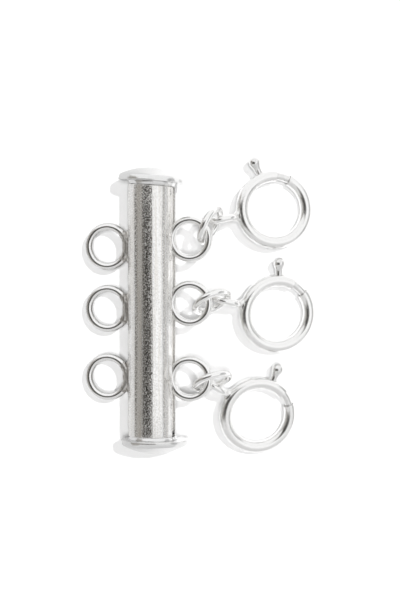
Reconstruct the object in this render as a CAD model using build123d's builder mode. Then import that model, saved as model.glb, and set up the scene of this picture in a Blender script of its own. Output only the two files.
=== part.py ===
from build123d import *
from math import asin, atan2, cos, degrees, radians, sin, sqrt
import os

os.makedirs("parts", exist_ok=True)

# Sizes in millimetres and angles in degrees.
# Outer tube, open along a slot
tube_diameter = 4.15
tube_wall = 0.35
tube_length = 21.93
slot_width = 1.0
tube_roll = 14.0

# End caps and the collars under them
cap_diameter = 5.9
cap_rim = 0.2
cap_rise = 1.03
cap_edge_radius = 0.4
head_collar_height = 0.33
head_lean = 4.0
head_gap = 0.04
foot_collar_diameter = 4.3
foot_collar_height = 0.3
foot_collar_shift = 0.1
foot_cap_shift = 0.25

# Slider in the tube
slider_clearance = 0.05
slider_wall = 0.35
slider_end_gap = 0.3
slider_bite = 0.2

# Strand loops on the tube, with their solder feet
tube_loop_diameter = 4.15
tube_loop_wire = 0.65
tube_loop_bite = 0.13
tube_loop_heights = (16.62, 11.15, 5.1)
foot_length = 2.9
foot_thickness = 0.6
foot_tip = 0.1

# Strand loops on the slider
slider_loop_diameter = 4.0
slider_loop_wire = 0.65
slider_loop_bite = 0.195
slider_loop_heights = (17.27, 11.65, 5.07)

# Jump rings
jump_diameter = 3.7
jump_wire = 0.6

# Spring rings: hollow body, gap, lever slot and eye
ring_diameter = 7.0
ring_body_diameter = 1.1
ring_body_wall = 0.15
gap_start = -128.0
gap_end = -104.0
eye_reach = 2.8
eye_width = 2.6
eye_wire = 0.6
eye_bite = 0.12
solder_diameter = 0.84
solder_offset = 0.28

# Gate wire and its lever
gate_clearance = 0.05
gate_overlap = 3.5
gate_tail = 8.0
gate_travel = 29.0
lever_angle = -77.6
lever_slot_clearance = 0.05
lever_stem_diameter = 0.6
lever_peg_diameter = 0.84
lever_peg_gap = 0.08
lever_head_diameter = 1.06
lever_head_radius = 4.45

# Where each jump ring and spring ring lies.
# across, along and up place the jump ring's centre from its slider loop's, in loop diameters.
# heading is the jump ring's level direction and lean is its slope.
# eye_across, eye_along and eye_up place the round end of the spring ring's eye from the jump
# ring's centre, in jump ring diameters, and eye_heading is the direction that the eye points in.
ring_lies = (
    {"across": 0.43075, "along": 0.29375, "up": 0.00975, "heading": 63.22, "lean": 70.61,
     "eye_across": 0.25992, "eye_along": 0.14573, "eye_up": -0.33062, "eye_heading": 191.1},
    {"across": 0.46525, "along": 0.0345, "up": -0.089, "heading": 25.62, "lean": 64.6,
     "eye_across": 0.31672, "eye_along": 0.016641, "eye_up": -0.22386, "eye_heading": 165.9},
    {"across": 0.475, "along": -0.03275, "up": 0.14825, "heading": 18.83, "lean": 68.11,
     "eye_across": 0.042259, "eye_along": -0.13869, "eye_up": -0.48035, "eye_heading": 144.7},
)

# Radii and heights that follow from the sizes above
tube_radius = tube_diameter / 2
bore_radius = tube_radius - tube_wall
axis_height = cap_diameter / 2
cap_edge_across = cap_diameter / 2 - cap_edge_radius
dome_radius = (axis_height**2 + cap_rise**2 - 2 * axis_height * cap_edge_radius) / (
    2 * (cap_rise - cap_edge_radius)
)
dome_start = degrees(atan2(dome_radius - cap_rise, cap_edge_across))
dome_sweep = degrees(atan2(cap_edge_across, dome_radius - cap_rise))
slider_radius = bore_radius - slider_clearance
slider_bore_radius = slider_radius - slider_wall
tube_loop_ring = (tube_loop_diameter - tube_loop_wire) / 2
tube_loop_out = tube_radius - tube_loop_bite + tube_loop_diameter / 2
slider_loop_ring = (slider_loop_diameter - slider_loop_wire) / 2
slider_loop_out = slider_radius - slider_loop_bite + slider_loop_diameter / 2
slider_loop_across = slider_loop_out * cos(radians(tube_roll))
slider_loop_lift = axis_height + slider_loop_out * sin(radians(tube_roll))
ring_body_radius = ring_body_diameter / 2
ring_bore_radius = ring_body_radius - ring_body_wall
ring_radius = ring_diameter / 2 - ring_body_radius
gate_radius = ring_bore_radius - gate_clearance
eye_tip = ring_diameter / 2 + eye_reach - eye_wire / 2
eye_root = ring_diameter / 2 - eye_bite + eye_wire / 2
eye_side = (eye_width - eye_wire) / 2
eye_front = eye_tip - eye_side
eye_back = eye_root + eye_side


# Places from the centre of the slider loop: the jump ring's centre and the eye's round end
def jump_offset(lie):
    return Vector(lie["across"], lie["along"], lie["up"]) * slider_loop_diameter


def eye_offset(lie):
    eye = Vector(lie["eye_across"], lie["eye_along"], lie["eye_up"]) * jump_diameter
    return jump_offset(lie) + eye


# Unit directions of one spring ring: towards its eye, sideways, and square to its plane.
# Its far side rests on the floor while its eye hangs in the jump ring, which gives its slope.
def ring_directions(lie):
    heading = radians(lie["eye_heading"])
    eye_rise = slider_loop_lift + eye_offset(lie).Z - ring_body_radius
    tilt = asin(eye_rise / (ring_radius + eye_front))
    outward = Vector(cos(heading) * cos(tilt), sin(heading) * cos(tilt), sin(tilt))
    sideways = Vector(-sin(heading), cos(heading), 0)
    return outward, sideways, outward.cross(sideways)


# Place of one spring ring's centre, from that of the slider loop
def ring_offset(lie):
    return eye_offset(lie) - ring_directions(lie)[0] * eye_front


# Half the extent of a round tilted body ring along a direction, from its normal's part there
def ring_extent(normal_part):
    return ring_radius * sqrt(1 - normal_part**2) + ring_body_radius


# The frame's origin lies on the floor under the middle of the whole clasp.
# These are measured from the tube's axis and from the visible foot end of the tube.
tube_loop_extent = (tube_loop_out + tube_loop_ring) * cos(radians(tube_roll)) + tube_loop_wire / 2
ring_reaches = [
    slider_loop_across + ring_offset(lie).X + ring_extent(ring_directions(lie)[2].X)
    for lie in ring_lies
]
ring_drops = [
    height + ring_offset(lie).Y - ring_extent(ring_directions(lie)[2].Y)
    for height, lie in zip(slider_loop_heights, ring_lies)
]
lever_turn = radians(lever_angle)
lever_tops = [
    height
    + ring_offset(lie).Y
    + lever_head_radius
    * (cos(lever_turn) * ring_directions(lie)[0].Y + sin(lever_turn) * ring_directions(lie)[1].Y)
    + lever_head_diameter / 2
    for height, lie in zip(slider_loop_heights, ring_lies)
]
foot_drop = -foot_collar_height - cap_rim - cap_rise
head_top = tube_length + head_gap + head_collar_height + cap_rim + cap_rise
middle_across = (max(ring_reaches) - tube_loop_extent) / 2
middle_along = (max(*lever_tops, head_top) + min(*ring_drops, foot_drop)) / 2

# Axis of the tube, with the slider's loops on its rolled X side
roll_direction = (cos(radians(tube_roll)), 0, sin(radians(tube_roll)))
tube_plane = Plane(
    origin=(-middle_across, -middle_along, axis_height), x_dir=roll_direction, z_dir=(0, 1, 0)
)
loop_plane = Plane(origin=tube_plane.origin, x_dir=tube_plane.x_dir, z_dir=-tube_plane.y_dir)

# Seat of the slider's collar, which leans a little, and the seats at the foot
head_lean_direction = (sin(radians(head_lean)), cos(radians(head_lean)), 0)
head_plane = Plane(
    origin=(-middle_across, tube_length + head_gap - middle_along, axis_height),
    x_dir=(0, 0, 1),
    z_dir=head_lean_direction,
)
foot_collar_plane = Plane(
    origin=(foot_collar_shift - middle_across, -middle_along, axis_height),
    x_dir=(0, 0, 1),
    z_dir=(0, -1, 0),
)
foot_cap_plane = Plane(
    origin=(foot_cap_shift - middle_across, -foot_collar_height - middle_along, axis_height),
    x_dir=(0, 0, 1),
    z_dir=(0, -1, 0),
)


# Low dome with a rounded edge on a thin rim, seated on a plane and rising along its Z
def cap_solid(seat):
    profile_plane = Plane(origin=seat.origin, x_dir=seat.x_dir, z_dir=-seat.y_dir)
    dome_centre = (0, cap_rim + cap_rise - dome_radius)
    with BuildPart(mode=Mode.PRIVATE) as cap:
        with BuildSketch(profile_plane):
            with BuildLine():
                Line((0, 0), (cap_diameter / 2, 0))
                Line((cap_diameter / 2, 0), (cap_diameter / 2, cap_rim))
                CenterArc((cap_edge_across, cap_rim), cap_edge_radius, 0, dome_start)
                CenterArc(dome_centre, dome_radius, dome_start, dome_sweep)
                Line((0, cap_rim + cap_rise), (0, 0))
            make_face()
        revolve(axis=Axis(seat.origin, seat.z_dir))
    return cap.part


# Round wire loop standing on the tube's side, at a distance out and a height along the axis
def loop_solid(out, height, loop_ring, wire):
    centre = loop_plane.from_local_coords((out, height, 0))
    with BuildPart(mode=Mode.PRIVATE) as loop:
        with BuildSketch(Plane(origin=centre, x_dir=loop_plane.y_dir, z_dir=loop_plane.x_dir)):
            with Locations((loop_ring, 0)):
                Circle(wire / 2)
        revolve(axis=Axis(centre, loop_plane.z_dir))
    return loop.part


# Solder along the tube under one loop, tapering to both ends
def solder_foot(height):
    half = foot_length / 2
    tip = foot_tip / 2
    with BuildPart(mode=Mode.PRIVATE) as foot:
        with BuildSketch(loop_plane):
            with BuildLine():
                Polyline(
                    (-tube_radius, height - half),
                    (-tube_radius - tip, height - half),
                    (-tube_radius - foot_thickness / 2, height),
                    (-tube_radius - tip, height + half),
                    (-tube_radius, height + half),
                    close=True,
                )
            make_face()
        centre = loop_plane.from_local_coords((-tube_radius, height, 0))
        revolve(axis=Axis(centre, loop_plane.y_dir))
    return foot.part


# Outer tube with its slot, foot collar, foot cap and three strand loops
with BuildPart() as outer_tube:
    with BuildSketch(tube_plane):
        Circle(tube_radius)
        Circle(bore_radius, mode=Mode.SUBTRACT)
    extrude(amount=tube_length + cap_diameter)
    with BuildSketch(tube_plane):
        with Locations((tube_radius, 0)):
            Rectangle(2 * tube_radius, slot_width)
    extrude(amount=tube_length + cap_diameter, mode=Mode.SUBTRACT)
    with BuildSketch(head_plane.offset(-head_gap)):
        Circle(cap_diameter)
    extrude(amount=2 * cap_diameter, mode=Mode.SUBTRACT)
    with BuildSketch(foot_collar_plane):
        Circle(foot_collar_diameter / 2)
    extrude(amount=foot_collar_height)
    add(cap_solid(foot_cap_plane))
    for height in tube_loop_heights:
        add(loop_solid(-tube_loop_out, height, tube_loop_ring, tube_loop_wire))
        add(solder_foot(height))
outer_tube.part.label = "outer_tube"
export_step(outer_tube.part, "parts/outer_tube.step")

# Slider: inner tube with its collar, head cap and three strand loops
with BuildPart() as slider:
    with BuildSketch(tube_plane.offset(slider_end_gap)):
        Circle(slider_radius)
        Circle(slider_bore_radius, mode=Mode.SUBTRACT)
    extrude(amount=tube_length + head_gap + slider_bite - slider_end_gap)
    with BuildSketch(head_plane):
        Circle(tube_radius)
    extrude(amount=head_collar_height)
    add(cap_solid(head_plane.offset(head_collar_height)))
    for height in slider_loop_heights:
        add(loop_solid(slider_loop_out, height, slider_loop_ring, slider_loop_wire))
slider.part.label = "slider"
export_step(slider.part, "parts/slider.step")

# Jump rings, spring rings and gates, one of each for every slider loop
for number, (height, lie) in enumerate(zip(slider_loop_heights, ring_lies), start=1):
    loop_centre = Vector(slider_loop_across - middle_across, height - middle_along, slider_loop_lift)

    # Closed jump ring through the slider's loop and the spring ring's eye
    heading = radians(lie["heading"])
    lean = radians(lie["lean"])
    level = Vector(cos(heading), sin(heading), 0)
    down = Vector(sin(heading) * cos(lean), -cos(heading) * cos(lean), -sin(lean))
    jump_centre = loop_centre + jump_offset(lie)
    jump_plane = Plane(origin=jump_centre, x_dir=level, z_dir=level.cross(down))
    with BuildPart() as jump_ring:
        with BuildSketch(Plane(origin=jump_centre, x_dir=level, z_dir=jump_plane.y_dir)):
            with Locations(((jump_diameter - jump_wire) / 2, 0)):
                Circle(jump_wire / 2)
        revolve(axis=Axis(jump_centre, jump_plane.z_dir))
    jump_ring.part.label = f"jump_ring_{number}"
    export_step(jump_ring.part, f"parts/jump_ring_{number}.step")

    # Directions and planes of this spring ring
    outward, sideways, square = ring_directions(lie)
    ring_centre = loop_centre + ring_offset(lie)
    ring_plane = Plane(origin=ring_centre, x_dir=outward, z_dir=square)
    ring_axis = Axis(ring_centre, square)

    # Section plane through the ring's axis at an angle from the eye
    def section_plane(angle):
        turn = radians(angle)
        radial = outward * cos(turn) + sideways * sin(turn)
        return Plane(origin=ring_centre, x_dir=radial, z_dir=radial.cross(square))

    # Body: hollow C-shaped tube with a slot for the lever and a soldered eye
    stem_radius = lever_stem_diameter / 2
    slot_half = stem_radius + lever_slot_clearance
    with BuildPart() as spring_ring:
        with BuildSketch(section_plane(gap_end)):
            with Locations((ring_radius, 0)):
                Circle(ring_body_radius)
        revolve(axis=ring_axis, revolution_arc=360 - (gap_end - gap_start))
        with BuildLine(section_plane(0)) as eye_line:
            Line((eye_back, eye_side), (eye_front, eye_side))
            ThreePointArc((eye_front, eye_side), (eye_tip, 0), (eye_front, -eye_side))
            Line((eye_front, -eye_side), (eye_back, -eye_side))
            ThreePointArc((eye_back, -eye_side), (eye_root, 0), (eye_back, eye_side))
        with BuildSketch(Plane(eye_line.line @ 0, z_dir=eye_line.line % 0)):
            Circle(eye_wire / 2)
        sweep(path=eye_line.line)
        solder_centre = ring_centre + outward * (ring_diameter / 2 + solder_offset)
        with Locations(solder_centre):
            Sphere(solder_diameter / 2)
        with BuildSketch(section_plane(gap_end)):
            with Locations((ring_radius, 0)):
                Circle(ring_bore_radius)
        revolve(
            axis=ring_axis, revolution_arc=360 - (gap_end - gap_start), mode=Mode.SUBTRACT
        )
        with BuildSketch(section_plane(lever_angle)):
            with Locations((ring_radius + ring_body_radius, 0)):
                Rectangle(2 * (ring_body_radius - ring_bore_radius / 2), 2 * slot_half)
        revolve(axis=ring_axis, revolution_arc=gate_travel, mode=Mode.SUBTRACT)
        for angle in (lever_angle, lever_angle + gate_travel):
            radial = section_plane(angle).x_dir
            with BuildSketch(Plane(origin=ring_centre + radial * ring_radius, z_dir=radial)):
                Circle(slot_half)
            extrude(amount=ring_body_diameter, mode=Mode.SUBTRACT)
    spring_ring.part.label = f"spring_ring_{number}"
    export_step(spring_ring.part, f"parts/spring_ring_{number}.step")

    # Gate: curved wire in the body, with a stem through the slot to the lever's round head
    gate_arc = lever_angle + gate_tail - (gap_start - gate_overlap)
    lever_plane = section_plane(lever_angle)
    peg_start = ring_diameter / 2 + lever_peg_gap
    with BuildPart() as gate:
        with BuildSketch(section_plane(gap_start - gate_overlap)):
            with Locations((ring_radius, 0)):
                Circle(gate_radius)
        revolve(axis=ring_axis, revolution_arc=gate_arc)
        with BuildSketch(
            Plane(origin=ring_centre + lever_plane.x_dir * ring_radius, z_dir=lever_plane.x_dir)
        ):
            Circle(stem_radius)
        extrude(amount=lever_head_radius - ring_radius)
        with BuildSketch(
            Plane(origin=ring_centre + lever_plane.x_dir * peg_start, z_dir=lever_plane.x_dir)
        ):
            Circle(lever_peg_diameter / 2)
        extrude(amount=lever_head_radius - peg_start)
        with Locations(ring_centre + lever_plane.x_dir * lever_head_radius):
            Sphere(lever_head_diameter / 2)
    gate.part.label = f"gate_{number}"
    export_step(gate.part, f"parts/gate_{number}.step")
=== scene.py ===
# %% [markdown]
# # A silver clasp for three strands
# The clasp lies on a pale table. A slotted tube holds a slider by friction. Wire loops stand on
# both, and each loop on the slider's side carries a jump ring and a spring ring.
# The engineering model is loaded first. It fixes every size and place, so nothing here is fitted
# by eye: each visible piece is worked out again from the same sizes, as a finer surface.

# %% Load the engineering model
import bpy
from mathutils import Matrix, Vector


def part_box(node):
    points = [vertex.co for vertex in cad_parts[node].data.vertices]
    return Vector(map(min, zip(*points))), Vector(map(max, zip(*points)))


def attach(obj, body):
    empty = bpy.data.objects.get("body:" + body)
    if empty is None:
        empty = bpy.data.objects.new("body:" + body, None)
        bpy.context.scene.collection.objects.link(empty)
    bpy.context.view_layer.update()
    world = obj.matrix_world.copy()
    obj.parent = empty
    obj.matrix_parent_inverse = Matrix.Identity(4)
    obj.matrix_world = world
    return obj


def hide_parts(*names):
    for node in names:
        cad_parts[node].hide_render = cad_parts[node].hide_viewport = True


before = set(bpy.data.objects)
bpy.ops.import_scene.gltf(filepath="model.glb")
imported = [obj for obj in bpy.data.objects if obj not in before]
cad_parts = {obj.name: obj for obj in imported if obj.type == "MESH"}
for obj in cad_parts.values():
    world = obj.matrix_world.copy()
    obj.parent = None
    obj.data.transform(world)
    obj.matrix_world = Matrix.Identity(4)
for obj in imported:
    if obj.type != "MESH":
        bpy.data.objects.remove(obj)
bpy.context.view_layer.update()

# %% [markdown]
# ## Working units
# The object is only 26 mm long. Sizes are written in millimetres, as a maker would, and a mesh is
# scaled to metres once, when it is made. Every list of points is a numpy array.

# %% Units and imports
from math import asin, atan2, cos, degrees, pi, radians, sin, tan

import bmesh
import bpy
import numpy as np
from mathutils import Matrix, Vector

MM = 0.001
UP = np.array((0.0, 0.0, 1.0))

# %% [markdown]
# ## Sizes of the clasp
# These are the sizes of the engineering model. The tube is a common 25 mm clasp tube and the
# spring rings are the common 7 mm ones. The last table says how the rings lie, for each loop of
# the slider in turn: where the jump ring's middle is from the loop's middle, how its circle is
# turned and leans, where the spring ring's middle is, and which way its eye points.

# %% Sizes
TUBE_RADIUS = 2.075
BORE_RADIUS = 1.725
TUBE_LENGTH = 21.93
SLOT_HALF = 0.5
TUBE_ROLL = radians(14.0)
CAP_RADIUS, CAP_RIM, CAP_RISE, CAP_EDGE = 2.95, 0.2, 1.03, 0.4
HEAD_LEAN, HEAD_GAP, HEAD_COLLAR = radians(4.0), 0.04, 0.33
FOOT_COLLAR_RADIUS, FOOT_COLLAR, FOOT_SHIFT, FOOT_CAP_SHIFT = 2.15, 0.3, 0.1, 0.25
SLIDER_RADIUS, SLIDER_BORE, SLIDER_END = 1.675, 1.325, 0.3
TUBE_LOOPS = {"heights": (16.62, 11.15, 5.1), "out": 4.02, "ring": 1.75, "wire": 0.325}
SLIDER_LOOPS = {"heights": (17.27, 11.65, 5.07), "out": 3.48, "ring": 1.675, "wire": 0.325}
JUMP_RING, JUMP_WIRE = 1.55, 0.3
RING_RADIUS, RING_BODY, RING_WALL, RING_TILT = 2.95, 0.55, 0.15, radians(15.0)
GAP_START, GAP_END = -128.0, -104.0
EYE_TIP, EYE_ROOT, EYE_SIDE, EYE_WIRE = 6.0, 3.68, 1.0, 0.3
LEVER_ANGLE, LEVER_TRAVEL, LEVER_SLOT = -77.6, 29.0, 0.35
GATE_WIRE, GATE_FROM, GATE_TO = 0.35, -131.5, -69.6
LEVER = {"stem": 0.3, "cone_from": 3.42, "waist": 0.06, "head": 0.53, "head_at": 4.45}
LIES = (
    {"across": 1.723, "along": 1.175, "up": 0.039, "heading": 63.22, "lean": 70.61,
     "ring_across": 7.424, "ring_along": 2.644, "eye": 191.1},
    {"across": 1.861, "along": 0.138, "up": -0.356, "heading": 25.62, "lean": 64.6,
     "ring_across": 7.717, "ring_along": -0.977, "eye": 165.9},
    {"across": 1.9, "along": -0.131, "up": 0.593, "heading": 18.83, "lean": 68.11,
     "ring_across": 5.998, "ring_along": -3.435, "eye": 144.7},
)
print("loops per side:", len(LIES))

# %% [markdown]
# ## Where the tube's axis lies
# The model's origin is under the middle of the whole clasp. The foot of the tube is found from the
# loaded solids, and not typed in again: the foot cap's lowest point in Y is one rim, one rise and
# one collar below the tube's foot, and its middle in X is shifted a little off the tube's axis.

# %% The tube's own directions
foot_low, foot_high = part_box("outer_tube")
AXIS_HEIGHT = CAP_RADIUS
FOOT_Y = foot_low.y / MM + FOOT_COLLAR + CAP_RIM + CAP_RISE
AXIS_X = foot_high.x / MM - CAP_RADIUS - FOOT_CAP_SHIFT
AXIS = np.array((AXIS_X, FOOT_Y, AXIS_HEIGHT))
ALONG = np.array((0.0, 1.0, 0.0))
TO_LOOPS = np.array((cos(TUBE_ROLL), 0.0, sin(TUBE_ROLL)))
OVER_LOOPS = np.cross(TO_LOOPS, ALONG)
print("foot of the axis in mm:", AXIS.round(3), "over:", OVER_LOOPS.round(3))

# %% [markdown]
# ## Surfaces from grids
# Every piece below is a function of two parameters, worked out on a grid of points. Each grid
# becomes quads by counting: corner (r, c) joins (r+1, c), (r+1, c+1) and (r, c+1). A direction
# that goes all the way round is closed by counting modulo its length. A row that has shrunk to one
# point is a pole: its doubles are merged, so the surface closes there.

# %% Grid to mesh
MERGE_METRES = 1e-8


def grid_faces(rows, columns, close_rows=False, close_columns=True):
    """Quads (n, 4) of a rows x columns grid: (r, c), (r+1, c), (r+1, c+1), (r, c+1), with the
    closed directions counted modulo their length."""
    r, c = np.meshgrid(
        np.arange(rows - (not close_rows)), np.arange(columns - (not close_columns)), indexing="ij"
    )
    r_next, c_next = (r + 1) % rows, (c + 1) % columns
    corners = (r * columns + c, r_next * columns + c, r_next * columns + c_next, r * columns + c_next)
    return np.stack(corners, axis=-1).reshape(-1, 4)


def piece(name, shells, body, material, nodes=()):
    """One object from several shells, each a pair (points in mm, faces). Doubles are merged, the
    faces are turned outwards, and the piece rides on its body."""
    points, faces, start = [], [], 0
    for shell_points, shell_faces in shells:
        flat = shell_points.reshape(-1, 3)
        points.append(flat)
        faces.append(shell_faces + start)
        start += len(flat)
    mesh = bpy.data.meshes.new(name)
    mesh.from_pydata((np.concatenate(points) * MM).tolist(), [], np.concatenate(faces).tolist())
    work = bmesh.new()
    work.from_mesh(mesh)
    bmesh.ops.remove_doubles(work, verts=work.verts, dist=MERGE_METRES)
    bmesh.ops.recalc_face_normals(work, faces=work.faces)
    work.to_mesh(mesh)
    work.free()
    mesh.shade_smooth()
    mesh.materials.append(material)
    made = bpy.data.objects.new(name, mesh)
    bpy.context.scene.collection.objects.link(made)
    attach(made, body)
    if nodes:
        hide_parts(*nodes)
    return made


print("faces of a 3 x 4 closed grid:", len(grid_faces(3, 4)))

# %% [markdown]
# Three kinds of surface make nearly all of the clasp. A turned shape carries a profile round an
# axis, as a lathe does: caps, collars, the lever's ball. A wire carries a circle along a path that
# lies in a plane: loops, rings, eyes. A rounded block in bent coordinates makes the slotted tube.

# %% Turned shapes and wires
def turned(profile, centre, axis, start, around=96):
    """Profile points (radius r, height h) turned about an axis:
    P(i, a) = centre + h_i axis + r_i (cos a start + sin a (axis x start))."""
    angle = np.linspace(0, 2 * pi, around, endpoint=False)
    side = np.cos(angle)[:, None] * start + np.sin(angle)[:, None] * np.cross(axis, start)
    profile = np.asarray(profile, float)
    points = centre + profile[:, 1, None, None] * axis + profile[:, 0, None, None] * side[None]
    return points, grid_faces(len(profile), around)


def wire(path, normal, radius, around=28, closed=True):
    """A circle of the given radius (one number or one per path point) carried along a path in the
    plane with this normal: P(i, a) = path_i + r_i (cos a outward_i + sin a normal), where
    outward is square to the path in its plane."""
    ahead = np.roll(path, -1, 0) - np.roll(path, 1, 0)
    if not closed:
        ahead[0], ahead[-1] = path[1] - path[0], path[-1] - path[-2]
    ahead /= np.linalg.norm(ahead, axis=1)[:, None]
    outward = np.cross(ahead, normal)
    angle = np.linspace(0, 2 * pi, around, endpoint=False)
    radius = np.broadcast_to(radius, len(path))[:, None, None]
    ring = np.cos(angle)[None, :, None] * outward[:, None] + np.sin(angle)[None, :, None] * normal
    return path[:, None] + radius * ring, grid_faces(len(path), around, close_rows=closed)


def circle(centre, across, up, radius, count=128, start=0.0, end=360.0):
    """Points centre + radius (cos t across + sin t up); a full turn leaves out its last point."""
    t = np.radians(np.linspace(start, end, count, endpoint=end - start < 360))[:, None]
    return centre + radius * (np.cos(t) * across + np.sin(t) * up)


def arc(centre, radius, start, end, count):
    """Profile points of a circular arc, from one angle in degrees to another."""
    t = np.radians(np.linspace(start, end, count))
    return np.stack((centre[0] + radius * np.cos(t), centre[1] + radius * np.sin(t)), axis=1)


print("points of a quarter arc:", arc((0, 0), 1, 0, 90, 3).round(2).tolist())

# %% [markdown]
# ## Surface detail shared by all the silver
# Polished silver is never flat. It has long shallow ripples from the buff, hair scratches, and on
# cheaper drawn tube a fine grain of pits. Each effect is a node group that puts out a height or a
# mask, so that every metal below can take its own share. Object coordinates in millimetres drive
# them all, so the marks keep their real size on every piece.

# %% Node helpers
def new_group(name, inputs, outputs):
    """A shader node group with named float or vector inputs and float outputs."""
    group = bpy.data.node_groups.new(name, "ShaderNodeTree")
    for label, kind, value in inputs:
        made = group.interface.new_socket(label, in_out="INPUT", socket_type=kind)
        if kind == "NodeSocketFloat":
            made.default_value = value
    for label in outputs:
        group.interface.new_socket(label, in_out="OUTPUT", socket_type="NodeSocketFloat")
    return group, group.nodes.new("NodeGroupInput"), group.nodes.new("NodeGroupOutput")


def node(tree, kind, values=None, **settings):
    """A node with its settings, and its input values by name or number."""
    made = tree.nodes.new(kind)
    for key, value in settings.items():
        setattr(made, key, value)
    for key, value in (values or {}).items():
        made.inputs[key].default_value = value
    return made


def math(tree, operation, first, second=None, third=None, clamp=False):
    """A Math node on sockets or plain numbers; its value socket comes back."""
    made = node(tree, "ShaderNodeMath", operation=operation, use_clamp=clamp)
    for place, given in enumerate((first, second, third)):
        if isinstance(given, (int, float)):
            made.inputs[place].default_value = given
        elif given is not None:
            tree.links.new(given, made.inputs[place])
    return made.outputs["Value"]


def millimetres(tree):
    """Object coordinates in millimetres, scaled up by a Mapping node."""
    place = node(tree, "ShaderNodeTexCoord")
    mapping = node(tree, "ShaderNodeMapping", {"Scale": (1 / MM, 1 / MM, 1 / MM)})
    tree.links.new(place.outputs["Object"], mapping.inputs["Vector"])
    return mapping.outputs["Vector"]


def stretched(tree, vector, ways):
    """A vector times three numbers: a pattern on it is squeezed by each along its own axis."""
    made = node(tree, "ShaderNodeVectorMath", operation="MULTIPLY")
    made.inputs[1].default_value = ways
    tree.links.new(vector, made.inputs[0])
    return made.outputs["Vector"]


def noise(tree, vector, values):
    """A Noise Texture node on a vector socket, with its input values by name."""
    made = node(tree, "ShaderNodeTexNoise", values)
    tree.links.new(vector, made.inputs["Vector"])
    return made


def ramp(tree, value, span, levels, **settings):
    """A value socket that goes between two levels over a span, and holds them outside it."""
    numbers = dict(zip(("From Min", "From Max", "To Min", "To Max"), (*span, *levels)))
    made = node(tree, "ShaderNodeMapRange", numbers, **settings)
    tree.links.new(value, made.inputs["Value"])
    return made.outputs["Result"]


print("node helpers ready")

# %% [markdown]
# The grain group makes the drawn tube's skin. The die leaves streaks along the draw, and specks
# less than a tenth of a millimetre across where the metal is rougher. A noise stretched a long
# way along Y gives the streaks. A fine noise cut at a threshold gives the specks, and a slow noise
# moves that threshold a little, so that they are denser in some places.

# %% Drawn grain
STREAK_WAYS, SPECK_WAYS = (8.0, 0.12, 8.0), (1.0, 0.6, 1.0)
SPECK_LEVEL, PATCH_SHARE, SPECK_SLOPE = 0.56, 0.08, 7.0


def drawn_grain():
    """Height = streaks * Streak - specks * Pit, mask = specks, from one vector in millimetres.
    A speck rises from 0 to 1 as the fine noise passes SPECK_LEVEL - PATCH_SHARE * patches."""
    group, given, put = new_group(
        "drawn_grain",
        [("Vector", "NodeSocketVector", None), ("Streak", "NodeSocketFloat", 1.0),
         ("Pit", "NodeSocketFloat", 1.0), ("Pit size", "NodeSocketFloat", 14.0)],
        ["Height", "Mask", "Streaks"],
    )
    place = given.outputs["Vector"]
    along = stretched(group, place, STREAK_WAYS)
    streaks = noise(group, along, {"Scale": 1.0, "Detail": 3.0, "Roughness": 0.6})
    specks = noise(group, stretched(group, place, SPECK_WAYS), {"Detail": 0.0})
    group.links.new(given.outputs["Pit size"], specks.inputs["Scale"])
    patches = noise(group, place, {"Scale": 0.9, "Detail": 2.0})
    level = math(group, "MULTIPLY_ADD", patches.outputs["Fac"], -PATCH_SHARE, SPECK_LEVEL)
    depth = math(group, "SUBTRACT", specks.outputs["Fac"], level)
    mask = math(group, "MULTIPLY", depth, SPECK_SLOPE, clamp=True)
    rise = math(group, "MULTIPLY", streaks.outputs["Fac"], given.outputs["Streak"])
    fall = math(group, "MULTIPLY", mask, given.outputs["Pit"])
    group.links.new(math(group, "SUBTRACT", rise, fall), put.inputs["Height"])
    group.links.new(mask, put.inputs["Mask"])
    group.links.new(streaks.outputs["Fac"], put.inputs["Streaks"])
    return group


GRAIN = drawn_grain()
print("group made:", GRAIN.name)

# %% [markdown]
# The polish group makes what a buffing wheel leaves: a slow ripple that bends reflections, and
# hair scratches that run every way. The scratches are thin lines where a stretched noise passes
# its middle value.

# %% Buffed polish
SCRATCH_WAYS, SCRATCHES_PER_MM = ((2.2, 0.5, 2.2), (0.5, 2.4, 1.1)), 2.3
NOISE_MIDDLE, SCRATCH_SHARPNESS = 0.5, 160.0


def buffed_polish():
    """Height = ripple * Ripple - scratches * Scratch, mask = scratches. A scratch is
    1 - sharpness * |noise - middle|, and never below 0."""
    group, given, put = new_group(
        "buffed_polish",
        [("Vector", "NodeSocketVector", None), ("Ripple", "NodeSocketFloat", 1.0),
         ("Ripple size", "NodeSocketFloat", 1.2), ("Scratch", "NodeSocketFloat", 1.0)],
        ["Height", "Mask"],
    )
    place = given.outputs["Vector"]
    ripple = noise(group, place, {"Detail": 1.0, "Roughness": 0.4})
    group.links.new(given.outputs["Ripple size"], ripple.inputs["Scale"])
    lines = []
    for ways in SCRATCH_WAYS:
        hills = noise(group, stretched(group, place, ways), {"Scale": SCRATCHES_PER_MM, "Detail": 2.0})
        off = math(group, "ABSOLUTE", math(group, "SUBTRACT", hills.outputs["Fac"], NOISE_MIDDLE))
        fading = math(group, "MULTIPLY", off, SCRATCH_SHARPNESS)
        lines.append(math(group, "SUBTRACT", 1.0, fading, clamp=True))
    mask = math(group, "MAXIMUM", *lines)
    rise = math(group, "MULTIPLY", ripple.outputs["Fac"], given.outputs["Ripple"])
    fall = math(group, "MULTIPLY", mask, given.outputs["Scratch"])
    group.links.new(math(group, "SUBTRACT", rise, fall), put.inputs["Height"])
    group.links.new(mask, put.inputs["Mask"])
    return group


POLISH = buffed_polish()
print("group made:", POLISH.name)

# %% [markdown]
# ## The silver itself
# One function mixes a metal from its own numbers: its roughness, and how strong the ripple, the
# scratches, the streaks and the specks are. A slow cloud of tarnish dulls the colour, and on the
# drawn tube it follows the streaks instead. The Principled shader and its plain numbers stay in
# each material. Heights are scaled to metres, so the Bump node works at real depth.

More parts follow.
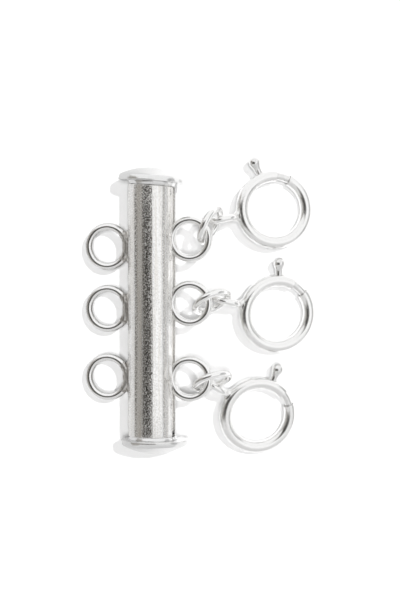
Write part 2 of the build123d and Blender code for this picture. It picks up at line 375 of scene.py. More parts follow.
# %% Silver materials
STREAK_GAIN, STREAK_START = 6.0, 2.6
SPECK_STAIN, SCRATCH_STAIN = 0.3, 0.5


def silver(
    name, tint, dull, roughness, worn, ripple, ripple_size, scratch, pit, pit_size, streak=0.0, drawn=0.0
):
    """A metal made from the two groups. Its clean colour is tint, and tint times dull where it is
    stained. Specks and scratches add worn to its roughness. The heights ripple, scratch, pit and
    streak are in mm, the sizes are counts per mm, and drawn is the share of streaks in the stain."""
    made = bpy.data.materials.new(name)
    made.use_nodes = True
    tree = made.node_tree
    shader = tree.nodes["Principled BSDF"]
    shader.inputs["Metallic"].default_value = 1.0
    place = millimetres(tree)
    numbers = {"Streak": streak, "Pit": pit, "Pit size": pit_size}
    grain = node(tree, "ShaderNodeGroup", numbers, node_tree=GRAIN)
    numbers = {"Ripple": ripple, "Ripple size": ripple_size, "Scratch": scratch}
    polish = node(tree, "ShaderNodeGroup", numbers, node_tree=POLISH)
    tree.links.new(place, grain.inputs["Vector"])
    tree.links.new(place, polish.inputs["Vector"])
    height = math(tree, "ADD", grain.outputs["Height"], polish.outputs["Height"])
    bump = node(tree, "ShaderNodeBump", {"Strength": 1.0, "Distance": 1.0})
    tree.links.new(math(tree, "MULTIPLY", height, MM), bump.inputs["Height"])
    tree.links.new(bump.outputs["Normal"], shader.inputs["Normal"])
    marks = math(tree, "MAXIMUM", grain.outputs["Mask"], polish.outputs["Mask"])
    rough = math(tree, "MULTIPLY_ADD", marks, worn, roughness, clamp=True)
    tree.links.new(rough, shader.inputs["Roughness"])
    cloud = noise(tree, place, {"Scale": ripple_size, "Detail": 2.0})
    gain, start = STREAK_GAIN * drawn, STREAK_START * drawn
    lines = math(tree, "MULTIPLY_ADD", grain.outputs["Streaks"], gain, -start)
    stain = math(tree, "MULTIPLY_ADD", cloud.outputs["Fac"], 1.0 - drawn, lines)
    speck = math(tree, "MULTIPLY_ADD", grain.outputs["Mask"], SPECK_STAIN, stain)
    dulled = math(tree, "MULTIPLY_ADD", polish.outputs["Mask"], SCRATCH_STAIN, speck, clamp=True)
    blend = node(tree, "ShaderNodeMix", data_type="RGBA")
    tree.links.new(dulled, blend.inputs["Factor"])
    blend.inputs["A"].default_value = (*tint, 1.0)
    blend.inputs["B"].default_value = (*[channel * share for channel, share in zip(tint, dull)], 1.0)
    tree.links.new(blend.outputs["Result"], shader.inputs["Base Color"])
    return made


BRIGHT, SPUN, POOR = (0.965, 0.962, 0.955), (0.87, 0.87, 0.868), (0.93, 0.92, 0.9)
WARM, COOL, GREY = (0.9, 0.885, 0.86), (0.975, 0.975, 0.975), (0.82, 0.82, 0.82)
FIRED = (0.4, 0.38, 0.36)
TUBE_METAL = silver(
    "drawn_tube_silver", BRIGHT, WARM, roughness=0.06, worn=0.4, ripple=0.001, ripple_size=0.7,
    scratch=0.0008, pit=0.003, pit_size=14.0, streak=0.006, drawn=1.0,
)
CAP_METAL = silver(
    "spun_cap_silver", SPUN, COOL, roughness=0.13, worn=0.1, ripple=0.012, ripple_size=0.8,
    scratch=0.0008, pit=0.0005, pit_size=10.0,
)
WIRE_METAL = silver(
    "drawn_wire_silver", BRIGHT, COOL, roughness=0.13, worn=0.1, ripple=0.008, ripple_size=1.3,
    scratch=0.0006, pit=0.0005, pit_size=10.0,
)
RING_METAL = silver(
    "bright_ring_silver", BRIGHT, COOL, roughness=0.17, worn=0.1, ripple=0.006, ripple_size=0.9,
    scratch=0.0006, pit=0.0004, pit_size=10.0,
)
GATE_METAL = silver(
    "gate_silver", BRIGHT, GREY, roughness=0.09, worn=0.15, ripple=0.01, ripple_size=2.0,
    scratch=0.001, pit=0.001, pit_size=9.0,
)
SOLDER_METAL = silver(
    "solder_silver", POOR, FIRED, roughness=0.3, worn=0.25, ripple=0.05, ripple_size=3.0,
    scratch=0.0, pit=0.015, pit_size=5.0, drawn=0.5,
)
print("materials:", [m.name for m in bpy.data.materials])

# %% [markdown]
# ## The slotted tube
# The tube is sheet silver rolled round, with a slot left open for the slider's loops. Extruding a
# C shape would leave knife edges. Here the wall is a block with all its edges rounded, in bent
# coordinates: one goes round the tube from slot face to slot face, one through the wall, and one
# along. Rows near each slot face shrink the block's loop by the edge radius, on a quarter circle.

# %% Rounded block in bent coordinates
def rounded_loop(half_a, half_b, corner, per_corner=5, per_side=3):
    """Closed loop of (a, b) round a rectangle of the given half sizes with rounded corners:
    each corner is a quarter circle, each side a straight run of a few points."""
    corner = min(corner, half_a, half_b)
    runs = []
    for turn, (sa, sb) in enumerate(((1, 1), (-1, 1), (-1, -1), (1, -1))):
        middle = (sa * (half_a - corner), sb * (half_b - corner))
        runs.append(arc(middle, corner, 90 * turn, 90 * turn + 90, per_corner))
    loop = []
    for now, after in zip(runs, runs[1:] + runs[:1]):
        step = np.linspace(0, 1, per_side + 2)[1:-1, None]
        loop += [now, now[-1] * (1 - step) + after[0] * step]
    return np.concatenate(loop)


def block_rows(half_a, half_b, edge, steps=5):
    """Loops of a rounded block from one end to its full section, with how far each lies from the
    end: first a flat end face that grows from its middle, then a quarter circle of the edge."""
    almost_nothing = 1e-6
    rows = [
        (0.0, rounded_loop(almost_nothing, half_b - half_a, 0.0)),
        (0.0, rounded_loop(half_a - edge, half_b - edge, 0.0)),
    ]
    for psi in np.linspace(0, pi / 2, steps)[1:]:
        inset = edge * (1 - sin(psi))
        rows.append((edge * (1 - cos(psi)), rounded_loop(half_a - inset, half_b - inset, edge - inset)))
    return rows


def slotted_tube(edge=0.07, around=160):
    """P(t, s): s walks the loop of wall (radius r, length y); t goes round from slot face to slot
    face at angle asin((slot half + distance) / r), so both faces stay flat. The far end is cut on
    the leaning plane y = length - x tan(lean)."""
    wall, middle = (TUBE_RADIUS - BORE_RADIUS) / 2, (TUBE_RADIUS + BORE_RADIUS) / 2
    ends = block_rows(wall, TUBE_LENGTH / 2, edge)
    full = ends[-1][1]
    share = np.linspace(0, 1, around)[1:-1]
    rows, angles = [], []
    for distance, loop in ends:
        rows.append(loop)
        angles.append(np.arcsin((SLOT_HALF + distance) / (middle + loop[:, 0])))
    first = angles[-1]
    rows += [full] * len(share)
    angles += [first + s * (2 * pi - 2 * first) for s in share]
    for distance, loop in reversed(ends):
        rows.append(loop)
        angles.append(2 * pi - np.arcsin((SLOT_HALF + distance) / (middle + loop[:, 0])))
    rows, angles = np.array(rows), np.array(angles)
    r = middle + rows[..., 0]
    radial = np.cos(angles)[..., None] * TO_LOOPS + np.sin(angles)[..., None] * OVER_LOOPS
    offset = r[..., None] * radial
    lean = 1 - offset[..., 0] * tan(HEAD_LEAN) / TUBE_LENGTH
    y = (rows[..., 1] + TUBE_LENGTH / 2) * lean
    points = AXIS + offset + y[..., None] * ALONG
    return points, grid_faces(*points.shape[:2])


tube_shell = piece("tube_shell", [slotted_tube()], "tube", TUBE_METAL, ["outer_tube"])
print("tube faces:", len(tube_shell.data.polygons))

# %% [markdown]
# ## Collars and domed caps
# Each cap is a disc pressed into a low dome with a thin rim, soldered on a collar that flares a
# little towards it. The section is drawn once: flat underside, small round at the rim's lower
# corner, the rim as a shallow cone, a tight arc over the edge and a wide arc up to the middle.
# Turning it gives the cap, with no flat facets.

# %% Cap and collar profiles
CAP_AROUND = 128


def cap_profile(corner=0.06, leave=12.0, meet=37.0):
    """(r, h) from the middle of the underside to the top of the dome. The rim is a cone that
    leaves the corner's arc at one angle and meets the edge's arc at another. For a cap of radius
    A and rise B, the wide arc touches the edge's arc of radius e when its own radius is
    R = (A² + B² - 2 A e) / (2 (B - e))."""
    wide = (CAP_RADIUS**2 + CAP_RISE**2 - 2 * CAP_RADIUS * CAP_EDGE) / (2 * (CAP_RISE - CAP_EDGE))
    touch = degrees(atan2(wide - CAP_RISE, CAP_RADIUS - CAP_EDGE))
    underside = [(0.0, 0.0), (1.0, 0.0), (2.0, 0.0)]
    return np.concatenate((
        underside,
        arc((CAP_RADIUS - corner, corner), corner, -90, leave, 6),
        arc((CAP_RADIUS - CAP_EDGE, CAP_RIM), CAP_EDGE, meet, touch, 10),
        arc((0.0, CAP_RIM + CAP_RISE - wide), wide, touch, 90, 26)[1:],
    ))


def collar_profile(radius, height, corner=0.04, flare=0.09):
    """(r, h) of a disc with its two rims rounded, whose side leans out by flare to the cap."""
    lean = degrees(atan2(flare, height - 2 * corner))
    return np.concatenate((
        [(0.0, 0.0)],
        arc((radius - flare - corner, corner), corner, -90, -lean, 5),
        arc((radius - corner, height - corner), corner, -lean, 90, 5),
        [(0.0, height)],
    ))


head_axis = np.array((sin(HEAD_LEAN), cos(HEAD_LEAN), 0.0))
foot_seat = AXIS + (FOOT_SHIFT, 0.0, 0.0)
foot_cap_seat = AXIS + (FOOT_CAP_SHIFT, -FOOT_COLLAR, 0.0)
head_seat = AXIS + (TUBE_LENGTH + HEAD_GAP) * ALONG
head_cap_seat = head_seat + HEAD_COLLAR * head_axis
foot_collar = piece(
    "foot_collar", [turned(collar_profile(FOOT_COLLAR_RADIUS, FOOT_COLLAR), foot_seat, -ALONG, UP)],
    "tube", CAP_METAL,
)
foot_cap = piece(
    "foot_cap", [turned(cap_profile(), foot_cap_seat, -ALONG, UP, CAP_AROUND)],
    "tube", CAP_METAL,
)
head_collar = piece(
    "head_collar", [turned(collar_profile(TUBE_RADIUS, HEAD_COLLAR), head_seat, head_axis, UP)],
    "slider", CAP_METAL,
)
head_cap = piece(
    "head_cap", [turned(cap_profile(), head_cap_seat, head_axis, UP, CAP_AROUND)],
    "slider", CAP_METAL,
)
turned_pieces = (foot_collar, foot_cap, head_collar, head_cap)
print("collar and cap faces:", [len(made.data.polygons) for made in turned_pieces])

# %% [markdown]
# ## The slider's inner tube
# A second tube slides in the first with a twentieth of a millimetre to spare. It is a full round
# tube, so one turned closed profile makes it: up the outside, over the rim and down the bore.

# %% Inner tube
def inner_tube(seat=0.2, edge=0.05, around=96):
    """The loop of the wall (r, h) turned about the tube's axis, closed both ways. Its far end
    stands in the head collar by the seat."""
    wall = (SLIDER_RADIUS - SLIDER_BORE) / 2
    length = TUBE_LENGTH + HEAD_GAP + seat - SLIDER_END
    loop = rounded_loop(wall, length / 2, edge, per_side=6)
    loop = loop + (SLIDER_BORE + wall, SLIDER_END + length / 2)
    points, _ = turned(loop, AXIS, ALONG, UP, around)
    return points, grid_faces(len(loop), around, close_rows=True)


slider_tube = piece("slider_tube", [inner_tube()], "slider", TUBE_METAL, ["slider"])
print("slider tube faces:", len(slider_tube.data.polygons))

# %% [markdown]
# ## Strand loops and their solder
# Each loop is a closed ring of round wire. On the tube it stands on the side, in the plane of the
# tube's axis, and solder fills the wedge on both sides of where it touches. The solder is a low
# mound on the tube: thick where the wire touches, drawn out to a feather edge along the tube.

# %% Loops
SOLDER_SUNK = 0.02


def strand_loops(kind, side, name, body):
    """Wire circles in the plane of TO_LOOPS and ALONG, at a distance out from the axis."""
    made = []
    for number, height in enumerate(kind["heights"], start=1):
        centre = AXIS + side * kind["out"] * TO_LOOPS + height * ALONG
        shell = wire(circle(centre, TO_LOOPS, ALONG, kind["ring"], 144), OVER_LOOPS, kind["wire"])
        made.append(piece(f"{name}_{number}", [shell], body, WIRE_METAL))
    return made


def solder_run(height, reach=58.0, thin=0.93, swell=0.11, count=60):
    """A skin of solder on the loop's wire where it meets the tube: a circle carried along an arc
    of the loop. Over the share w of the arc its radius is the wire's times
    thin + swell sin(pi w)^0.5."""
    centre = AXIS - TUBE_LOOPS["out"] * TO_LOOPS + height * ALONG
    path = circle(centre, TO_LOOPS, ALONG, TUBE_LOOPS["ring"], count, -reach, reach)
    w = np.linspace(0, 1, count)
    radius = TUBE_LOOPS["wire"] * (thin + swell * np.sin(pi * w) ** 0.5)
    radius[[0, -1]] = 0.0
    return wire(path, OVER_LOOPS, radius, closed=False)


def solder_mound(height, length=3.1, reach=0.62, half_width=0.36, depth=0.12, across=24, along=48):
    """P(u, a) = tube skin + lift(u) (cos a outward + sin a sideways), a half round at each place
    u in [-1, 1] along the tube, whose lift falls as (1 - u²)^0.75 and whose inner half lies in
    the wall."""
    u = np.sin(np.linspace(-pi / 2, pi / 2, along))[:, None]
    a = np.linspace(0, 2 * pi, across, endpoint=False)[None]
    fade = (1 - u**2) ** 0.75
    sideways = half_width * fade * np.sin(a)
    rise = np.where(np.cos(a) > 0, reach * fade, depth * fade) * np.cos(a)
    skin = np.sqrt(TUBE_RADIUS**2 - sideways**2) - SOLDER_SUNK
    points = (
        AXIS + (height + u * length / 2)[..., None] * ALONG
        - (skin + rise)[..., None] * TO_LOOPS + sideways[..., None] * OVER_LOOPS
    )
    return points, grid_faces(along, across)


tube_loops = strand_loops(TUBE_LOOPS, -1, "tube_loop", "tube")
slider_loops = strand_loops(SLIDER_LOOPS, 1, "slider_loop", "slider")
solder_feet = [
    piece(
        f"solder_foot_{number}", [solder_mound(height), solder_run(height)],
        "tube", SOLDER_METAL,
    )
    for number, height in enumerate(TUBE_LOOPS["heights"], start=1)
]
print("loops:", len(tube_loops) + len(slider_loops), "feet:", len(solder_feet))

# %% [markdown]
# ## How each chain of rings lies
# A jump ring hangs through each slider loop, and a spring ring's eye hangs through the jump ring.
# Their places come from the sizes' table. The spring rings lie on the table on their far side,
# held up a little at the eye, which is a tilt of fifteen degrees.

# %% Places of the rings
def directions(lie):
    """Towards the eye, sideways in the ring's plane, and square to it."""
    heading = radians(lie["eye"])
    outward = np.array((cos(heading) * cos(RING_TILT), sin(heading) * cos(RING_TILT), sin(RING_TILT)))
    sideways = np.array((-sin(heading), cos(heading), 0.0))
    return outward, sideways, np.cross(outward, sideways)


ring_height = RING_BODY + RING_RADIUS * sin(RING_TILT)
hangs = []
for height, lie in zip(SLIDER_LOOPS["heights"], LIES):
    loop_centre = AXIS + SLIDER_LOOPS["out"] * TO_LOOPS + height * ALONG
    heading, lean = radians(lie["heading"]), radians(lie["lean"])
    ring_x, ring_y = loop_centre[0] + lie["ring_across"], loop_centre[1] + lie["ring_along"]
    hangs.append({
        "jump": loop_centre + (lie["across"], lie["along"], lie["up"]),
        "level": np.array((cos(heading), sin(heading), 0.0)),
        "down": np.array((sin(heading) * cos(lean), -cos(heading) * cos(lean), -sin(lean))),
        "ring": np.array((ring_x, ring_y, ring_height)),
        "directions": directions(lie),
    })
print("ring centres:", [h["ring"].round(2).tolist() for h in hangs])

# %% [markdown]
# ## Jump rings
# A jump ring is plain round wire, closed and soldered. Its circle lies in the plane of a level
# direction and the direction in which it hangs.

# %% Jump rings
for number, hang in enumerate(hangs, start=1):
    path = circle(hang["jump"], hang["level"], hang["down"], JUMP_RING)
    normal = np.cross(hang["level"], hang["down"])
    piece(
        f"jump_ring_wire_{number}", [wire(path, normal, JUMP_WIRE)],
        "slider", WIRE_METAL, [f"jump_ring_{number}"],
    )
print("jump rings:", len(hangs))

# %% [markdown]
# ## Spring ring bodies
# The body is a thin tube bent into a C, with a slot on its rim for the lever. It is made as a
# sheet: the outside of a torus on a grid, whose lines run along the slot's edges and bulge round
# its ends, and the faces inside the slot are left out. The Solidify modifier then gives the sheet
# the tube's wall, and Bevel breaks the sharp edges, as tumbling does.

# %% Body sheet with its slot
BROKEN_EDGE, BROKEN_FROM = 0.035, radians(50.0)


def body_sheet(hang, around=64, slot_lines=13, counts=(14, 24, 200)):
    """P(u, v) = centre + (R + r cos v) radial(u) + r sin v square, over the angles u of the C.
    Near the slot each grid line u is moved by sqrt(w² - d²) / R, where d is the distance across
    the slot and w its half width, so that the slot has round ends. The counts are the grid lines
    from the gap to the slot, along the slot, and from there to the gap again."""
    outward, sideways, square = hang["directions"]
    v_slot = asin(LEVER_SLOT / RING_BODY)
    v_open = np.linspace(-v_slot, v_slot, slot_lines)
    v_rest = np.linspace(v_slot, 2 * pi - v_slot, around - slot_lines + 1)[1:-1]
    v = np.concatenate((v_open, v_rest))
    across = np.minimum(np.abs(RING_BODY * np.sin(v)), LEVER_SLOT)
    inside = np.arange(len(v)) < len(v_open)
    round_end = np.degrees(np.sqrt(LEVER_SLOT**2 - across**2) / (RING_RADIUS + RING_BODY))
    bulge = np.where(inside, round_end, 0.0)
    marks = (GAP_END, LEVER_ANGLE, LEVER_ANGLE + LEVER_TRAVEL, GAP_START + 360)
    rows = []
    for part, count in enumerate(counts):
        start = marks[part] - bulge * (part == 1) + bulge * (part == 2)
        end = marks[part + 1] - bulge * (part == 0) + bulge * (part == 1)
        share = np.linspace(0, 1, count, endpoint=part == 2)[:, None]
        rows.append(start + share * (end - start))
    u = np.radians(np.concatenate(rows))
    radial = np.cos(u)[..., None] * outward + np.sin(u)[..., None] * sideways
    out, rise = RING_RADIUS + RING_BODY * np.cos(v), RING_BODY * np.sin(v)
    points = hang["ring"] + out[:, None] * radial + rise[:, None] * square
    faces = grid_faces(*u.shape).reshape(len(u) - 1, len(v), 4)
    kept = np.ones(faces.shape[:2], bool)
    kept[counts[0]:counts[0] + counts[1], :len(v_open) - 1] = False
    return points, faces[kept]


def sheet_piece(hang, number):
    """The sheet as a piece, its wall given inwards and its edges broken."""
    made = piece(
        f"spring_ring_body_{number}", [body_sheet(hang)], "slider", RING_METAL,
        [f"spring_ring_{number}"],
    )
    middle = np.array([f.center for f in made.data.polygons]) / MM - hang["ring"]
    _, _, square = hang["directions"]
    flat = middle - (middle @ square)[:, None] * square
    spine = flat / np.linalg.norm(flat, axis=1)[:, None] * RING_RADIUS
    normals = np.array([f.normal for f in made.data.polygons])
    if ((middle - spine) * normals).sum() < 0:
        made.data.flip_normals()
    wall = made.modifiers.new("wall", "SOLIDIFY")
    wall.thickness = RING_WALL * MM
    wall.offset = -1.0
    broken = made.modifiers.new("broken_edges", "BEVEL")
    broken.width = BROKEN_EDGE * MM
    broken.segments = 3
    broken.limit_method = "ANGLE"
    broken.angle_limit = BROKEN_FROM
    broken.harden_normals = True
    return made


bodies = [sheet_piece(hang, number) for number, hang in enumerate(hangs, start=1)]
print("body faces:", [len(b.data.polygons) for b in bodies])

# %% [markdown]
# ## Eyes and the solder that holds them
# The eye is a small wire loop that stands square to the ring, soldered at one side. The solder
# wets both the wire and the body, so it flares out onto the body like a saddle. Its foot follows
# the body: each point of its lowest row is dropped onto the body's tube.

# %% Eyes
SADDLE = {"side": 0.72, "side_loss": 0.36, "over": 0.46, "over_loss": 0.12, "rise": 0.34,
          "top": 0.42, "bottom": 0.45}


def eye_path(hang, bend=48):
    """A racetrack in the plane of the outward and square directions: two half circles, joined by
    two short straight runs."""
    outward, _, square = hang["directions"]
    front, back = EYE_TIP - EYE_SIDE, EYE_ROOT + EYE_SIDE
    tip = circle(hang["ring"] + front * outward, outward, square, EYE_SIDE, bend, -90, 90)
    root = circle(hang["ring"] + back * outward, outward, square, EYE_SIDE, bend, 90, 270)
    return np.concatenate((tip, root))


def eye_solder(hang, rows=20, around=40):
    """P(w, a): a flared collar. From the body to the wire its two half widths each lose a part
    that grows as sin(w pi / 2), and its height grows as (1 - cos(w pi / 2))^0.8. One point above
    and one inside the body close it."""
    outward, sideways, square = hang["directions"]
    w = np.linspace(0, 1, rows)[:, None]
    a = np.linspace(0, 2 * pi, around, endpoint=False)[None]
    side = (SADDLE["side"] - SADDLE["side_loss"] * np.sin(w * pi / 2)) * np.cos(a)
    over = (SADDLE["over"] - SADDLE["over_loss"] * np.sin(w * pi / 2)) * np.sin(a)
    foot = np.sqrt(np.maximum((RING_BODY - SOLDER_SUNK) ** 2 - over**2, 0)) + RING_RADIUS
    foot = np.sqrt(np.maximum(foot**2 - side**2, 0))
    out = foot + SADDLE["rise"] * (1 - np.cos(w * pi / 2)) ** 0.8
    spread = side[..., None] * sideways + over[..., None] * square
    collar = hang["ring"] + out[..., None] * outward + spread
    top = hang["ring"] + (RING_RADIUS + RING_BODY + SADDLE["top"]) * outward + np.zeros((1, around, 3))
    bottom = hang["ring"] + (RING_RADIUS + SADDLE["bottom"]) * outward + np.zeros((1, around, 3))
    points = np.concatenate((bottom, collar, top))
    return points, grid_faces(*points.shape[:2])


for number, hang in enumerate(hangs, start=1):
    _, sideways, _ = hang["directions"]
    piece(
        f"spring_ring_eye_{number}", [wire(eye_path(hang), sideways, EYE_WIRE)],
        "slider", WIRE_METAL,
    )
    piece(f"eye_solder_{number}", [eye_solder(hang)], "slider", RING_METAL)
print("eyes:", len(hangs))

# %% [markdown]
# ## Gates and levers
# The gate is a springy wire inside the body, which slides back when its lever is pulled. Its front
# end has a small chamfer so that it finds the hole. The lever is a pin with a head like a drop: a
# thin stem through the slot, a cone and a ball that run into each other.

# %% Gates
def gate_wire(hang, around=28, chamfer=0.06, steps=60):
    """A circle carried along the arc of the ring, whose radius drops to a point at both ends
    over a chamfer and a flat face."""
    outward, sideways, square = hang["directions"]
    step = degrees(chamfer / RING_RADIUS)
    angle = np.concatenate((
        [GATE_FROM, GATE_FROM, GATE_FROM + step],
        np.linspace(GATE_FROM + 2 * step, GATE_TO - 2 * step, steps),
        [GATE_TO - step, GATE_TO, GATE_TO],
    ))
    radius = np.full(len(angle), GATE_WIRE)
    radius[[0, -1]] = 0.0
    radius[[1, -2]] = GATE_WIRE - chamfer
    t = np.radians(angle)[:, None]
    radial = np.cos(t) * outward + np.sin(t) * sideways
    a = np.linspace(0, 2 * pi, around, endpoint=False)[None, :, None]
    ring = np.cos(a) * radial[:, None] + np.sin(a) * square
    points = hang["ring"] + RING_RADIUS * radial[:, None] + radius[:, None, None] * ring
    return points, grid_faces(len(angle), around)


def lever_pin(hang, around=40):
    """The pin's (r, h) profile, h from the ring's middle, turned about the lever's direction: a
    straight stem, then a slightly waisted cone up to where a tangent leaves the ball. With k the
    cone's growth asin((head - stem) / length), the ball takes over at head cos(k) out and
    head sin(k) below its middle."""
    outward, sideways, square = hang["directions"]
    turn = radians(LEVER_ANGLE)
    way = cos(turn) * outward + sin(turn) * sideways
    length = LEVER["head_at"] - LEVER["cone_from"]
    growth = asin((LEVER["head"] - LEVER["stem"]) / length)
    cone = np.linspace(0, 1, 7)[:-1, None]
    low = np.array((LEVER["stem"], LEVER["cone_from"]))
    high = np.array((LEVER["head"] * cos(growth), LEVER["head_at"] - LEVER["head"] * sin(growth)))
    flank = low + cone * (high - low)
    flank[:, 0] -= LEVER["waist"] * np.sin(pi * cone[:, 0]) ** 2
    profile = np.concatenate((
        [(0.0, RING_RADIUS), (LEVER["stem"], RING_RADIUS)],
        flank,
        arc((0.0, LEVER["head_at"]), LEVER["head"], -degrees(growth), 90, 28),
    ))
    return turned(profile, hang["ring"], way, square, around)


for number, hang in enumerate(hangs, start=1):
    piece(
        f"gate_wire_{number}", [gate_wire(hang), lever_pin(hang)],
        f"gate_{number}", GATE_METAL, [f"gate_{number}"],
    )
print("gates:", len(hangs))

# %% [markdown]
# ## Table
# The clasp was photographed on plain white paper. The paper is bright enough to burn out to pure
# white, as in the photograph, but its reflection in the silver is not: every ray except the
# camera's own meets a greyer copy of the paper, a painted shaded copy, with painted shade that
# makes it darker still to the left of the tube and a little below its foot. That keeps the thin
# dark outlines of the wires.

# %% Table
SEEN_WHITE = (0.8, 0.8, 0.8, 1.0)
# Painted shade on the paper's copy for reflections: darker to the left of the tube and below the foot.
LEFT_SHADE_SPAN, LEFT_SHADE_GREYS = (-7.5 * MM, -2.0 * MM), (0.52, 0.76)
FOOT_SHADE_SPAN, FOOT_SHADE_SHARES = (-15.0 * MM, -11.5 * MM), (0.88, 1.0)


def white_paper():
    """Two matt whites, the plain one for camera rays. The other is a painted shaded copy for all
    other rays: a grey that rises from left to right in X, times a share that rises from the foot
    in Y, so painted shade darkens it to the left and at the foot."""
    paper = bpy.data.materials.new("white_paper")
    paper.use_nodes = True
    tree = paper.node_tree
    tree.nodes.clear()
    place = node(tree, "ShaderNodeTexCoord")
    parts = node(tree, "ShaderNodeSeparateXYZ")
    tree.links.new(place.outputs["Object"], parts.inputs[0])
    # Painted shade: the copy seen in reflections gets greyer to the left and towards the foot.
    painted_shade = ramp(tree, parts.outputs["X"], LEFT_SHADE_SPAN, LEFT_SHADE_GREYS)
    share = ramp(tree, parts.outputs["Y"], FOOT_SHADE_SPAN, FOOT_SHADE_SHARES)
    shaded_copy = node(tree, "ShaderNodeBsdfDiffuse", {"Roughness": 0.0})
    tree.links.new(math(tree, "MULTIPLY", painted_shade, share), shaded_copy.inputs["Color"])
    seen = node(tree, "ShaderNodeBsdfDiffuse", {"Color": SEEN_WHITE, "Roughness": 0.0})
    rays = node(tree, "ShaderNodeLightPath")
    choose = node(tree, "ShaderNodeMixShader")
    out = node(tree, "ShaderNodeOutputMaterial")
    tree.links.new(rays.outputs["Is Camera Ray"], choose.inputs["Fac"])
    tree.links.new(shaded_copy.outputs[0], choose.inputs[1])
    tree.links.new(seen.outputs[0], choose.inputs[2])
    tree.links.new(choose.outputs[0], out.inputs["Surface"])
    return paper


def table(half=1500.0):
    """A flat square at height zero."""
    points = np.array([(-half, -half, 0), (half, -half, 0), (half, half, 0), (-half, half, 0)]) * MM
    mesh = bpy.data.meshes.new("table")
    mesh.from_pydata(points.tolist(), [], [(0, 1, 2, 3)])
    mesh.materials.append(white_paper())
    made = bpy.data.objects.new("table", mesh)
    bpy.context.scene.collection.objects.link(made)
    return made


table_top = table()
print("stage:", table_top.name)

# %% [markdown]
# ## What the silver reflects
# Polished silver shows what is round it, so the room is drawn as a light tent: a pale dome, a
# little brighter towards the top of the picture. On the left stands a warm grey card with a thin
# dark line in it, right of the top hangs a bright panel, and low on the right are two grey strips.
# Overhead is the dark opening for the camera, and in it the lens. It is a world shader on the
# direction (x, y, z) of the ray, and each patch is a product of soft steps in x and y. The camera
# sees a plain pale wall. Matt surfaces get half of the tent's light: the lamps do the rest.

# %% Tent
LEVEL_AT_FOOT, RISE_TO_HEAD, FOOT_LOSS = 0.98, 0.22, 0.14
TALL, MIDDLE = (("Y", -0.6, -0.45), ("Y", 0.6, 0.45)), (("Y", -0.6, -0.3), ("Y", 0.6, 0.3))
LOW, OPEN = (("Y", -0.35, -0.2), ("Y", 0.35, 0.2)), (("Y", -0.5, -0.34), ("Y", 0.34, 0.22))
PATCHES = {
    "card": (0.45, ("X", -0.68, -0.76), *TALL),
    "line": (0.2, ("X", -0.95, -0.965), *TALL),
    "panel": (1.25, ("X", 0.05, 0.1), ("X", 0.83, 0.79), *LOW),
    "dark strip": (0.48, ("X", 0.80, 0.84), *MIDDLE),
    "pale strip": (0.74, ("X", 0.90, 0.93), *MIDDLE),
    "opening": (0.11, ("X", -0.76, -0.68), ("X", 0.1, 0.05), *OPEN),
    "lens": (0.02, ("X", -0.46, -0.42), ("X", -0.32, -0.36), *OPEN),
}
PLAIN_TONE, WARM_TONE = (0.8, 0.8, 0.8, 1.0), (0.82, 0.785, 0.735, 1.0)
WALL_TONE = (0.95, 0.95, 0.95, 1.0)
SHARE_FOR_MATT = 0.5


def studio():
    """Level = tent outside the patches and their own levels inside them. A later patch lies over
    an earlier one."""
    world = bpy.data.worlds.new("studio")
    bpy.context.scene.world = world
    world.use_nodes = True
    tree = world.node_tree
    tree.nodes.clear()
    place = node(tree, "ShaderNodeTexCoord")
    parts = node(tree, "ShaderNodeSeparateXYZ")
    tree.links.new(place.outputs["Generated"], parts.inputs[0])

    def step(axis, low, high):
        """0 below low and 1 above high along one axis, smooth between; falls if low > high."""
        levels = (0.0, 1.0) if low < high else (1.0, 0.0)
        span = (min(low, high), max(low, high))
        return ramp(tree, parts.outputs[axis], span, levels, interpolation_type="SMOOTHSTEP")

    level = math(tree, "MULTIPLY_ADD", step("Y", -0.9, 0.7), RISE_TO_HEAD, LEVEL_AT_FOOT)
    level = math(tree, "MULTIPLY_ADD", step("Y", -0.4, -0.75), -FOOT_LOSS, level)
    masks = {}
    for name, (own_level, *edges) in PATCHES.items():
        mask = step(*edges[0])
        for edge in edges[1:]:
            mask = math(tree, "MULTIPLY", mask, step(*edge))
        outside = math(tree, "SUBTRACT", 1.0, mask)
        inside = math(tree, "MULTIPLY", mask, own_level)
        level = math(tree, "MULTIPLY_ADD", level, outside, inside)
        masks[name] = mask
    tone = node(tree, "ShaderNodeMix", data_type="RGBA")
    tone.inputs["A"].default_value = PLAIN_TONE
    tone.inputs["B"].default_value = WARM_TONE
    warm = math(tree, "MAXIMUM", masks["card"], masks["opening"])
    tree.links.new(warm, tone.inputs["Factor"])
    rays = node(tree, "ShaderNodeLightPath")
    share = math(tree, "MULTIPLY_ADD", rays.outputs["Is Diffuse Ray"], SHARE_FOR_MATT - 1.0, 1.0)
    light = node(tree, "ShaderNodeBackground")
    tree.links.new(tone.outputs["Result"], light.inputs["Color"])
    tree.links.new(math(tree, "MULTIPLY", level, share), light.inputs["Strength"])
    wall = node(tree, "ShaderNodeBackground", {"Color": WALL_TONE, "Strength": 1.0})
    choose = node(tree, "ShaderNodeMixShader")
    out = node(tree, "ShaderNodeOutputWorld")
    tree.links.new(rays.outputs["Is Camera Ray"], choose.inputs["Fac"])
    tree.links.new(light.outputs[0], choose.inputs[1])
    tree.links.new(wall.outputs[0], choose.inputs[2])
    tree.links.new(choose.outputs[0], out.inputs["Surface"])
    return world


studio_world = studio()
bpy.context.scene.view_settings.view_transform = "Standard"
print("world:", studio_world.name)

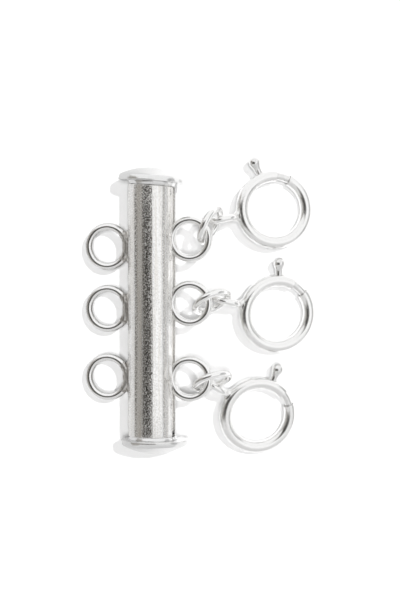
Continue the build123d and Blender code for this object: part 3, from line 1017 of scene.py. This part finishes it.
# %% [markdown]
# ## Lamps for the paper
# Two far lamps light the paper, and the silver does not mirror them. The key comes from the upper
# right and throws the narrow shadow to the lower left: a point at height h throws it 0.29 h to
# the left and 0.25 h down. The other is broad, comes from straight above and keeps that shadow
# pale.

# %% Lamps
def far_lamp(name, towards, strength, spread):
    """A sun lamp that shines from a direction, with its spread in degrees."""
    data = bpy.data.lights.new(name, "SUN")
    data.energy = strength
    data.angle = radians(spread)
    made = bpy.data.objects.new(name, data)
    bpy.context.scene.collection.objects.link(made)
    made.rotation_euler = Vector(towards).to_track_quat("Z", "Y").to_euler()
    made.visible_glossy = False
    return made


key = far_lamp("key", towards=(0.29, 0.25, 1.0), strength=1.55, spread=2.0)
fill = far_lamp("fill", towards=(0.0, 0.0, 1.0), strength=2.2, spread=12.0)
print("lamps:", key.name, fill.name)

# %% [markdown]
# ## Camera
# The photograph looks almost straight down from about 136 mm, a little towards the foot of the
# picture. The picture is 400 by 614, and one millimetre at the table is 11.2 pixels wide.

# %% Camera
CAMERA_AT, LOOKS_AT = (-0.063, 5.3315, 136.0), (-0.063, -0.0685, 2.0)
FOCAL_PIXELS = 1518.5


def look_down(place, target, focal_pixels, width_pixels=400):
    """A camera at place that looks at target, with the picture's up along Y."""
    data = bpy.data.cameras.new("photo_camera")
    data.sensor_fit = "HORIZONTAL"
    data.sensor_width = 36.0
    data.lens = focal_pixels / width_pixels * data.sensor_width
    data.clip_start = 0.005
    data.clip_end = 10.0
    made = bpy.data.objects.new("photo_camera", data)
    bpy.context.scene.collection.objects.link(made)
    back = np.array(place, float) - np.array(target, float)
    back /= np.linalg.norm(back)
    right = np.cross(ALONG, back)
    right /= np.linalg.norm(right)
    turn = np.stack((right, np.cross(back, right), back), axis=1)
    matrix = np.eye(4)
    matrix[:3, :3] = turn
    matrix[:3, 3] = np.array(place, float) * MM
    made.matrix_world = Matrix(matrix.tolist())
    bpy.context.scene.camera = made
    return made


camera = look_down(CAMERA_AT, LOOKS_AT, FOCAL_PIXELS)
print("lens:", round(camera.data.lens, 1), "mm")
